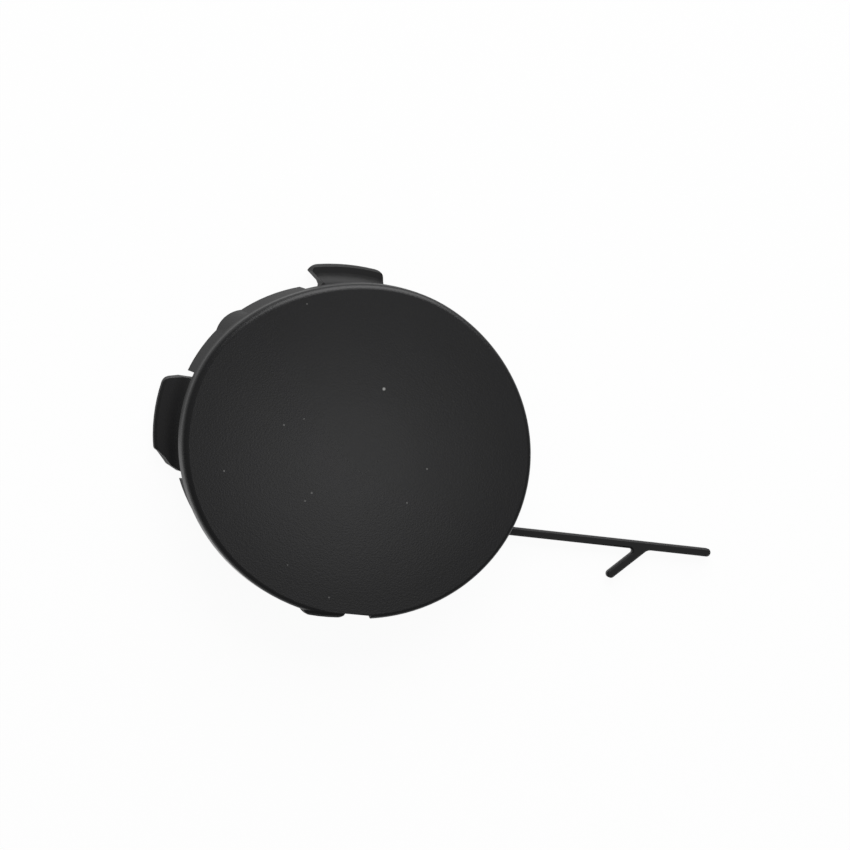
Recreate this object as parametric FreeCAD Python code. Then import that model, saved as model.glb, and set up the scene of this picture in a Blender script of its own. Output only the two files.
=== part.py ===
import FreeCAD, Part
import math
import os

# Snap-in cover for the towing eye hole of a bumper, one moulding in black plastic.
# It lies face up: +Z out of the disc, the origin where the insertion axis meets the rear edge.
# The disc follows the slanted bumper skin, so the rim, the skirt and the hooks all lean: each
# is round about the insertion axis and cut off level, so every level is an ellipse.
# Radii, and the headings of the hooks and the pad, are those of the cover before it is leaned.
# Headings turn from +X towards +Y.
# Lengths are in mm and angles in degrees.

V = FreeCAD.Vector

# Disc
face_slant = 18.0
slant_heading = 157.5
rim_radius = 38.8
rim_depth = 3.4
plate_thickness = 2.3
dome_radius = 420.0
edge_round = 1.3
rim_rear_bevel = 0.4

# Skirt, a loose fit in the bumper's hole
hole_radius = 36.4
hole_clearance = 0.5
skirt_wall = 1.8
skirt_lead_in = 0.5

# Hooks. A hook's root is wider than its lip by a flare on its clockwise side and one on its other side
grip = 7.7
lip_thickness = 2.9
hook_reach = 4.4
top_hook = {"heading": 85.7, "lip_width": 15.7, "flares": (0.3, 0.3)}
left_hook = {"heading": 172.3, "lip_width": 17.7, "flares": (1.0, 3.4)}
bottom_hook = {"heading": 264.5, "lip_width": 9.2, "flares": (0.6, 0.6)}
right_hook = {"heading": 355.8, "lip_width": 15.7, "flares": (0.3, 0.3)}
hook_slot = 1.4
hook_cove = 3.0
hook_lead_in = 1.6
hook_corner = 1.8
hook_edge_bevel = 0.5

# Bite out of the rim over the bottom hook, where a blade levers the cover out
notch_heading = 263.9
notch_span = (-9.6, 6.7)
notch_depth = 1.05

# Swelling on the skirt that locates the cover in its hole
pad_heading = 129.7
pad_height = 0.7
pad_curve = 6.9

# Crossed ribs behind the disc
rib_headings = (40.0, 130.0)
rib_thickness = 1.2

# Tether with a backward barb near its end
strap_heading = -6.9
strap_offset = 16.6
strap_reach = 92.6
strap_width = 1.95
strap_thickness = 2.0
strap_lift = 0.4
strap_edge_bevel = 0.4
foot_width = 6.0
foot_length = 5.0
barb_from_end = 15.6
barb_angle = 43.9
barb_length = 11.7
barb_inner_fillet = 0.6
barb_outer_fillet = 2.0

# Sizes that follow
slant = math.radians(face_slant)
slant_direction = V(math.cos(math.radians(slant_heading)), math.sin(math.radians(slant_heading)), 0)
insertion_axis = V(0, 0, math.cos(slant)) - slant_direction * math.sin(slant)
skirt_radius = hole_radius - hole_clearance
cavity_radius = skirt_radius - skirt_wall
seat_z = lip_thickness + grip
rim_height = seat_z + rim_depth
overlap = 0.5
far = 4 * rim_radius


def centre(z):
    """The point of the insertion axis at a height."""
    return insertion_axis * (z / insertion_axis.z)


def directions(heading):
    """The level directions outwards and across at a heading."""
    out = V(math.cos(math.radians(heading)), math.sin(math.radians(heading)), 0)
    return out, V(-out.y, out.x, 0)


def flat(corners):
    return Part.Face(Part.makePolygon(corners + corners[:1]))


def lean_point(point):
    """Where a point of the upright cover goes, at its own level."""
    flat_point = V(point.x, point.y, 0)
    along = flat_point.dot(slant_direction)
    return flat_point + slant_direction * (along / math.cos(slant) - along) + centre(point.z)


def lean(shape):
    """Leans an upright shape, so that what was round about +Z is round about the insertion axis."""
    x, y, z = [lean_point(unit) for unit in (V(1, 0, 0), V(0, 1, 0), V(0, 0, 1))]
    matrix = FreeCAD.Matrix(x.x, y.x, z.x, 0, x.y, y.y, z.y, 0, x.z, y.z, z.z, 0, 0, 0, 0, 1)
    return shape.transformGeometry(matrix)


def slab(low, high):
    return Part.makeBox(2 * far, 2 * far, high - low, V(-far, -far, low))


def drum(radius, low, high):
    """A round bar about the insertion axis, cut off level at both ends."""
    bar = Part.makeCylinder(radius, 2 * far, insertion_axis * -far, insertion_axis)
    return bar.common(slab(low, high))


def column(radius, low, high):
    """A round upright bar, to be leaned later."""
    return Part.makeCylinder(radius, high - low, V(0, 0, low))


def level_edges(shape, z):
    """The edges that lie level at a height, the shortest first."""
    found = [edge for edge in shape.Edges
             if abs(edge.BoundBox.ZMin - z) < 1e-4 and abs(edge.BoundBox.ZMax - z) < 1e-4]
    return sorted(found, key=lambda edge: edge.Length)


def same_place(edge, other):
    return edge.CenterOfMass.distanceToPoint(other.CenterOfMass) < 1e-3


def dome(offset):
    """The ball whose top is the disc's front, moved in by an offset, to be leaned later."""
    ball = Part.makeSphere(dome_radius - offset)
    ball.rotate(V(0, 0, 0), V(0, 1, 0), 90)
    ball.translate(V(0, 0, rim_height - math.sqrt(dome_radius ** 2 - rim_radius ** 2)))
    return ball


def disc():
    bottom = seat_z - overlap
    blank = column(rim_radius, bottom, rim_height + rim_radius).common(dome(0))
    blank = blank.makeFillet(edge_round, level_edges(blank, rim_height))
    blank = blank.makeChamfer(rim_rear_bevel + overlap, level_edges(blank, bottom))
    return lean(blank).common(slab(seat_z, far))


def skirt():
    ring = drum(skirt_radius, 0, seat_z + overlap)
    return ring.makeChamfer(skirt_lead_in, level_edges(ring, 0))


def hook(heading, lip_width, flares):
    """A tongue of the skirt's wall with a coved lip that grips behind the bumper."""
    out, across = directions(heading)
    lip_radius = hole_radius + hook_reach
    half = lip_width / 2
    corner_out = math.sqrt(lip_radius ** 2 - half ** 2)
    top = seat_z + overlap
    outline = flat([
        out * (cavity_radius / 2) - across * (half + flares[0]),
        out * skirt_radius - across * (half + flares[0]),
        out * corner_out - across * half,
        out * far - across * half,
        out * far + across * half,
        out * corner_out + across * half,
        out * skirt_radius + across * (half + flares[1]),
        out * (cavity_radius / 2) + across * (half + flares[1])])
    tongue = column(lip_radius, 0, top).common(outline.extrude(V(0, 0, top)))
    corners = [edge for edge in tongue.Edges
               if edge.BoundBox.ZLength > lip_thickness
               and abs(abs(edge.CenterOfMass.dot(across)) - half) < 1e-3
               and abs(edge.CenterOfMass.dot(out) - corner_out) < 1e-3]
    tongue = tongue.makeFillet(hook_corner, corners)
    ring = column(skirt_radius, 0, top).fuse(column(lip_radius, 0, lip_thickness))
    ring = ring.makeFillet(hook_cove, level_edges(ring, lip_thickness)[:1])
    ring = ring.makeChamfer(hook_edge_bevel, level_edges(ring, lip_thickness)[-1:])
    ring = ring.makeChamfer(hook_lead_in, level_edges(ring, 0))
    return lean(ring.common(tongue))


def window(heading, lip_width, flares):
    """The gap in the skirt that a hook stands in, wider than its root by a slot on each side."""
    out, across = directions(heading)
    first = out * (cavity_radius / 2) - across * (lip_width / 2 + flares[0] + hook_slot)
    last = out * (cavity_radius / 2) + across * (lip_width / 2 + flares[1] + hook_slot)
    low, high = V(0, 0, -overlap), V(0, 0, seat_z)
    corners = [first + low, last + low, last + high, first + high]
    return flat([lean_point(corner) for corner in corners]).extrude(lean_point(out * far))


def notch():
    """A straight-floored bite through the edge of the disc."""
    out, across = directions(notch_heading)
    first, last = notch_span
    low = centre(rim_height) + out * (rim_radius - notch_depth) + across * first - V(0, 0, 2 * rim_depth)
    up = V(0, 0, 4 * rim_depth)
    side = flat([low, low + out * rim_depth, low + out * rim_depth + up, low + up])
    return side.extrude(across * (last - first))


def pad():
    """A rounded swelling that follows the skirt from its rear edge to the disc."""
    out = directions(pad_heading)[0]
    start = lean_point(out * (skirt_radius + pad_height - pad_curve)) - insertion_axis * far
    return Part.makeCylinder(pad_curve, 2 * far, start, insertion_axis).common(slab(0, seat_z + overlap))


def ribs():
    """Crossed ribs behind the disc, level with the rear of its rim."""
    limit = drum(cavity_radius + overlap, seat_z, rim_height).common(lean(dome(plate_thickness - overlap)))
    bars = []
    for heading in rib_headings:
        bar = Part.makeBox(2 * far, rib_thickness, rim_height, V(-far, -rib_thickness / 2, 0))
        bar.rotate(V(0, 0, 0), V(0, 0, 1), heading)
        bar.translate(centre(rim_height) - V(0, 0, rim_height))
        bars.append(bar)
    return bars[0].multiFuse(bars[1:]).common(limit)


def tether():
    """A flat strap that leaves the skirt near its rear edge, with one backward barb."""
    along, across = directions(strap_heading)
    line = V(0, 0, strap_lift) - across * strap_offset
    start = line + along * math.sqrt(skirt_radius ** 2 - strap_offset ** 2)

    def bar(begin, direction, length, begin_width, end_width):
        beside = V(-direction.y, direction.x, 0)
        finish = begin + direction * length
        corners = [begin - beside * (begin_width / 2), finish - beside * (end_width / 2),
                   finish + beside * (end_width / 2), begin + beside * (begin_width / 2)]
        return flat(corners).extrude(V(0, 0, strap_thickness))

    def rounded_bar(begin, finish):
        run = finish - begin
        tail = Part.makeCylinder(strap_width / 2, strap_thickness, finish)
        straight = bar(begin, V(run).normalize(), run.Length, strap_width, strap_width)
        return straight.fuse(tail).removeSplitter()

    fork = line + along * (strap_reach - barb_from_end)
    branch = directions(strap_heading + 180 + barb_angle)[0]
    barb = rounded_bar(fork, fork + branch * (barb_length - strap_width / 2))
    strap = rounded_bar(start, line + along * (strap_reach - strap_width / 2)).fuse(barb).removeSplitter()
    middle = fork + V(0, 0, strap_thickness / 2)
    corners = [edge for edge in strap.Edges
               if edge.BoundBox.ZLength > strap_thickness / 2
               and edge.CenterOfMass.distanceToPoint(middle) < 2 * strap_width]
    inner, outer = sorted(corners, key=lambda edge: edge.CenterOfMass.dot(along))
    strap = strap.makeFillet(barb_inner_fillet, [inner])
    strap = strap.makeFillet(barb_outer_fillet, [edge for edge in strap.Edges if same_place(edge, outer)])
    front = max(strap.Faces, key=lambda face: face.CenterOfMass.z)
    rim = [edge for edge in front.Edges if edge.CenterOfMass.distanceToPoint(start) > strap_width]
    strap = strap.makeChamfer(strap_edge_bevel, rim)
    foot = bar(start - along * skirt_wall, along, skirt_wall + foot_length, foot_width, strap_width)
    return strap.fuse(foot)


def cover():
    hooks = (top_hook, left_hook, bottom_hook, right_hook)
    body = disc().fuse(skirt()).fuse(pad())
    for sizes in hooks:
        body = body.cut(window(**sizes))
    for sizes in hooks:
        body = body.fuse(hook(**sizes))
    body = body.cut(notch()).fuse(tether())
    body = body.cut(drum(cavity_radius, -overlap, rim_height).common(lean(dome(plate_thickness))))
    return body.fuse(ribs())


os.makedirs("parts", exist_ok=True)
shape = cover()
print("valid", shape.isValid(), "solids", len(shape.Solids), "volume", round(shape.Volume, 1))
print("box", shape.BoundBox)
shape.exportStep("parts/tow_eye_cover.step")
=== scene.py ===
import math

import bpy
from mathutils import Matrix, Vector


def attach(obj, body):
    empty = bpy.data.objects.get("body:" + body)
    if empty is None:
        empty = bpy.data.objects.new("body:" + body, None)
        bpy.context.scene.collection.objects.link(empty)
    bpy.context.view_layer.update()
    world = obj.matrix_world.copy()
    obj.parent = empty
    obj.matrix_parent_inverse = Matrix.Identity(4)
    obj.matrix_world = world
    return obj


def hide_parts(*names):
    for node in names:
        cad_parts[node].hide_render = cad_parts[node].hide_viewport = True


# Black plastic cover lying face up on white paper, seen almost square to its face.
# Lengths are in metres in the part's frame. Headings run from +X towards +Y.

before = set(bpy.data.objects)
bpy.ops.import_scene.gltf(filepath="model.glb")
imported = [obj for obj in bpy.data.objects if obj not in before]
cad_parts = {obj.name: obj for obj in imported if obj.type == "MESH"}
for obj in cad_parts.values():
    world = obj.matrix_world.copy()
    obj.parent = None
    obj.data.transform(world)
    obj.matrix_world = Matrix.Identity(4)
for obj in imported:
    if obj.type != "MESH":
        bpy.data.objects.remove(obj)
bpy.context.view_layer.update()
node_name = "tow_eye_cover"

# Camera: how far from the target, how far from overhead and towards which heading
camera_distance = 0.9
camera_tilt = math.radians(10.0)
camera_azimuth = math.radians(162.5)
target = Vector((0.01947, 0.00391, 0.014))
image_width = 850
pixel_size = 0.00023
sensor_width = 36.0

# Shapes repeated from the part: the skirt's axis leans from the face's normal
face_slant = math.radians(18.0)
slant_heading = math.radians(157.5)
seat_height = 0.0106
skirt_radius = 0.0359
rim_radius = 0.0388
level_slack = 0.00001

# The disc's edge is a little flat between its top and its left hook
flat_heading = math.radians(106.0)
flat_half_width = math.radians(50.0)
flat_depth = 0.00127
flat_from_radius = 0.020
flat_edge_margin = 0.001

# Two hooks end slantwise: heading of the end, turn, radius of no turn, of the whole turn
hook_ends = (
    (math.radians(99.9), math.radians(-4.7), 0.0394, 0.0363),
    (math.radians(190.6), math.radians(-3.9), 0.0355, 0.0395),
)
hook_end_spread = math.radians(14.0)
hook_slot_half = math.radians(1.2)
hook_root_radius = 0.0335

# Surround and paper
sky_light = 0.25
paper_size = 3.0
paper_gap = 0.0002
paper_colour = (0.9, 0.9, 0.9, 1.0)
paper_shadow_share = 0.05

# Lamps: heading and elevation in degrees, distance, width, height, power
lamps = {
    "key": (80.0, 30.0, 1.3, 1.4, 1.2, 26.0),
    "sheen": (316.4, 81.7, 1.2, 0.2, 0.2, 1.0),
}

# Plastic: the face is grained, the lower left of the side and skirt smooth, the rest dull. The
# rest is coloured darker than the face as painted shade: both are one plastic
face_colour = (0.0090, 0.0090, 0.0096, 1.0)
shaded_body_colour = (0.0050, 0.0050, 0.0054, 1.0)
face_roughness = 0.34
side_roughness = 0.10
rear_roughness = 0.55
specular_level = 0.30
mottle_scale = 120.0
mottle_detail = 4.0
mottle_share = 0.12
grain_scale = 2600.0
grain_detail = 2.0
grain_depth = 0.000028

# Where each kind of surface is, from none of it to all of it. The face is where the
# normal turns upwards, high up; the smooth side is above the lips, low down and to the left.
face_turn = (0.02, 0.20)
face_height = (0.0115, 0.0125)
smooth_height = (0.0050, 0.0062)
smooth_up = (0.0060, -0.0020)
smooth_across = (-0.0060, -0.0160)

# Dust specks on the face: place across and up, radius, strength
dust_colour = (0.35, 0.35, 0.34, 1.0)
dust_core = 0.5
dust_rim = 1.3
dust_specks = (
    (0.00969, 0.01234, 0.00034, 0.85),
    (-0.01340, 0.00427, 0.00022, 0.30),
    (-0.02710, -0.00615, 0.00022, 0.30),
    (-0.00706, -0.01135, 0.00024, 0.30),
    (-0.00860, -0.01317, 0.00020, 0.30),
    (0.01969, -0.00613, 0.00022, 0.30),
    (0.01503, -0.01391, 0.00020, 0.30),
    (-0.00881, 0.00561, 0.00015, 0.30),
    (-0.01253, -0.02786, 0.00016, 0.30),
    (-0.00293, -0.03553, 0.00018, 0.30),
    (-0.00790, 0.03184, 0.00016, 0.30),
)


class Wiring:
    """The nodes of one material or world, each made with its settings and its inputs."""

    def __init__(self, owner):
        owner.use_nodes = True
        self.nodes, self.links = owner.node_tree.nodes, owner.node_tree.links

    def add(self, kind, inputs=None, **settings):
        """A new node; an input is a value, or the output that feeds it."""
        node = self.nodes.new(kind)
        for name, value in settings.items():
            setattr(node, name, value)
        for name, value in (inputs or {}).items():
            if isinstance(value, bpy.types.NodeSocket):
                self.links.new(value, node.inputs[name])
            else:
                node.inputs[name].default_value = value
        return node

    def combine(self, operation, *values):
        """The outputs or numbers put together, two by two, by one operation."""
        total = values[0]
        for value in values[1:]:
            node = self.add("ShaderNodeMath", {0: total, 1: value}, operation=operation)
            total = node.outputs[0]
        return total

    def ramp(self, value, start, end, low=0.0, high=1.0):
        """The value carried from start..end to low..high, held at its ends."""
        inputs = {"Value": value, "From Min": start, "From Max": end,
                  "To Min": low, "To Max": high}
        return self.add("ShaderNodeMapRange", inputs, clamp=True).outputs["Result"]

    def blend(self, share, first, second):
        """A colour from the first to the second."""
        inputs = {0: share, 6: first, 7: second}
        return self.add("ShaderNodeMix", inputs, data_type="RGBA").outputs[2]

    def noise(self, place, scale, detail):
        """A soft noise of a scale, from 0 to 1."""
        inputs = {"Vector": place, "Scale": scale, "Detail": detail}
        return self.add("ShaderNodeTexNoise", inputs).outputs["Fac"]


def held_share(value, start, end):
    """How far the value is from start to end, held between 0 and 1."""
    return min(max((value - start) / (end - start), 0.0), 1.0)


def smooth_share(value, start, end):
    """The same without a kink at its ends."""
    share = held_share(value, start, end)
    return share * share * (3 - 2 * share)


def wrapped(angle):
    """The angle, brought within half a turn of zero."""
    return (angle + math.pi) % math.tau - math.pi


def end_turn(heading, radius):
    """How far a point near a hook's slantwise end is turned about the skirt's axis."""
    for end, turn, none_at, all_at in hook_ends:
        before = wrapped(end - heading)
        if radius > hook_root_radius and -hook_slot_half < before < hook_end_spread:
            share = held_share(radius, none_at, all_at)
            return turn * share * (1 - smooth_share(before, 0.0, hook_end_spread))
    return 0.0


def edge_draw(heading, radius, height):
    """How far a point of the disc is drawn in where the disc's edge is a little flat."""
    turned = abs(wrapped(heading - flat_heading))
    if turned >= flat_half_width:
        return 0.0
    on_seat = height < seat_height + level_slack
    inner = skirt_radius if on_seat else flat_from_radius
    share = math.cos(turned / flat_half_width * math.pi / 2) ** 2
    return flat_depth * share * smooth_share(radius, inner, rim_radius - flat_edge_margin)


def fitted_cover(node):
    """The CAD cover with its disc's edge and two hook ends shaped as in the photograph."""
    mesh = node.data.copy()
    mesh.name = "cover"
    lean = Vector((math.cos(slant_heading), math.sin(slant_heading)))
    for vertex in mesh.vertices:
        x, y, height = vertex.co
        out = Vector((x, y)) + lean * height * math.tan(face_slant)
        along = out.dot(lean) * math.sin(face_slant)
        radius = math.sqrt(out.length_squared - along ** 2)
        heading = math.atan2(out.y, out.x)
        if height < seat_height - level_slack:
            step = Matrix.Rotation(end_turn(heading, radius), 2) @ out - out
        else:
            step = -out.normalized() * edge_draw(heading, radius, height)
        vertex.co += step.to_3d()
    piece = bpy.data.objects.new("cover", mesh)
    bpy.context.scene.collection.objects.link(piece)
    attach(piece, "root")
    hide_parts(node_name)
    return piece


def plastic():
    """Black plastic: a grained face, a smooth and a dull side, a little mottle and dust."""
    material = bpy.data.materials.new("black_plastic")
    wiring = Wiring(material)
    place = wiring.nodes.new("ShaderNodeTexCoord").outputs["Object"]
    across, up, height = wiring.add("ShaderNodeSeparateXYZ", {0: place}).outputs
    normal = wiring.nodes.new("ShaderNodeNewGeometry").outputs["Normal"]
    facing = wiring.add("ShaderNodeSeparateXYZ", {0: normal}).outputs["Z"]
    on_face = wiring.combine("MULTIPLY", wiring.ramp(facing, *face_turn),
                             wiring.ramp(height, *face_height))
    on_smooth = wiring.combine("MULTIPLY", wiring.ramp(height, *smooth_height),
                               wiring.ramp(up, *smooth_up),
                               wiring.ramp(across, *smooth_across))

    mottle = wiring.noise(place, mottle_scale, mottle_detail)
    shade = wiring.ramp(mottle, 0, 1, 1 - mottle_share, 1 + mottle_share)
    # Off the face the colour is darker: painted shade
    plain = wiring.blend(on_face, shaded_body_colour, face_colour)
    mottled = wiring.add("ShaderNodeVectorMath", {0: plain, "Scale": shade}, operation="SCALE")

    flat = wiring.add("ShaderNodeCombineXYZ", {"X": across, "Y": up}).outputs[0]
    spots = []
    for x, y, radius, strength in dust_specks:
        away = wiring.add("ShaderNodeVectorMath", {0: flat, 1: (x, y, 0)},
                          operation="DISTANCE").outputs["Value"]
        spots.append(wiring.ramp(away, radius * dust_rim, radius * dust_core, 0.0, strength))
    dust = wiring.combine("MULTIPLY", wiring.combine("MAXIMUM", *spots), on_face)
    colour = wiring.blend(dust, mottled.outputs[0], dust_colour)

    behind = wiring.ramp(on_smooth, 0, 1, rear_roughness, side_roughness)
    rough = wiring.add("ShaderNodeMix", {0: on_face, 2: behind, 3: face_roughness})
    grain = wiring.noise(place, grain_scale, grain_detail)
    bump = wiring.add("ShaderNodeBump", {"Height": grain, "Strength": on_face,
                                         "Distance": grain_depth})

    shader = wiring.nodes["Principled BSDF"]
    shader.inputs["Specular IOR Level"].default_value = specular_level
    wiring.links.new(colour, shader.inputs["Base Color"])
    wiring.links.new(rough.outputs[0], shader.inputs["Roughness"])
    wiring.links.new(bump.outputs["Normal"], shader.inputs["Normal"])
    return material


def paper():
    """White paper that keeps a pale shadow of the cover."""
    place = (target.x, target.y, -paper_gap)
    bpy.ops.mesh.primitive_plane_add(size=paper_size, location=place)
    floor = bpy.context.object
    floor.name = "paper"
    material = bpy.data.materials.new("white_paper")
    wiring = Wiring(material)
    wiring.nodes.clear()
    path = wiring.nodes.new("ShaderNodeLightPath").outputs
    seen = wiring.combine("MAXIMUM", path["Is Camera Ray"], path["Is Glossy Ray"],
                          path["Is Transmission Ray"])
    share = wiring.combine("MULTIPLY", seen, 1 - paper_shadow_share)
    lit = wiring.add("ShaderNodeBsdfDiffuse", {"Color": paper_colour}).outputs[0]
    white = wiring.nodes.new("ShaderNodeEmission").outputs[0]
    mix = wiring.add("ShaderNodeMixShader", {0: share, 1: lit, 2: white}).outputs[0]
    wiring.add("ShaderNodeOutputMaterial", {"Surface": mix})
    floor.data.materials.append(material)


def sky():
    """A plain pale surround."""
    world = bpy.data.worlds.new("surround")
    bpy.context.scene.world = world
    wiring = Wiring(world)
    wiring.nodes.clear()
    plain = wiring.add("ShaderNodeBackground", {"Color": (1, 1, 1, 1), "Strength": sky_light})
    wiring.add("ShaderNodeOutputWorld", {"Surface": plain.outputs[0]})


def lamp(name, heading, elevation, distance, width, height, power):
    """A soft lamp that looks at the cover."""
    turn, rise = math.radians(heading), math.radians(elevation)
    level = math.cos(rise)
    away = Vector((level * math.cos(turn), level * math.sin(turn), math.sin(rise)))
    data = bpy.data.lights.new(name, "AREA")
    data.shape = "RECTANGLE"
    data.size, data.size_y = width, height
    data.energy = power
    shown = bpy.data.objects.new(name, data)
    bpy.context.scene.collection.objects.link(shown)
    shown.location = target + away * distance
    shown.rotation_euler = away.to_track_quat("Z", "Y").to_euler()


def camera():
    """The photograph's view: level, and seeing a little of the cover's upper left side."""
    back = Vector((math.sin(camera_tilt) * math.cos(camera_azimuth),
                   math.sin(camera_tilt) * math.sin(camera_azimuth), math.cos(camera_tilt)))
    right = Vector((0, 1, 0)).cross(back).normalized()
    up = back.cross(right)
    data = bpy.data.cameras.new("camera")
    data.sensor_width = sensor_width
    data.lens = sensor_width * camera_distance / (image_width * pixel_size)
    seer = bpy.data.objects.new("camera", data)
    bpy.context.scene.collection.objects.link(seer)
    turn = Matrix((right, up, back)).transposed().to_4x4()
    seer.matrix_world = Matrix.Translation(target + back * camera_distance) @ turn
    bpy.context.scene.camera = seer


material = plastic()
cover = fitted_cover(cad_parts[node_name])
cover.data.materials.clear()
cover.data.materials.append(material)
paper()
sky()
for name, setting in lamps.items():
    lamp(name, *setting)
camera()
bpy.context.scene.view_settings.view_transform = "Standard"
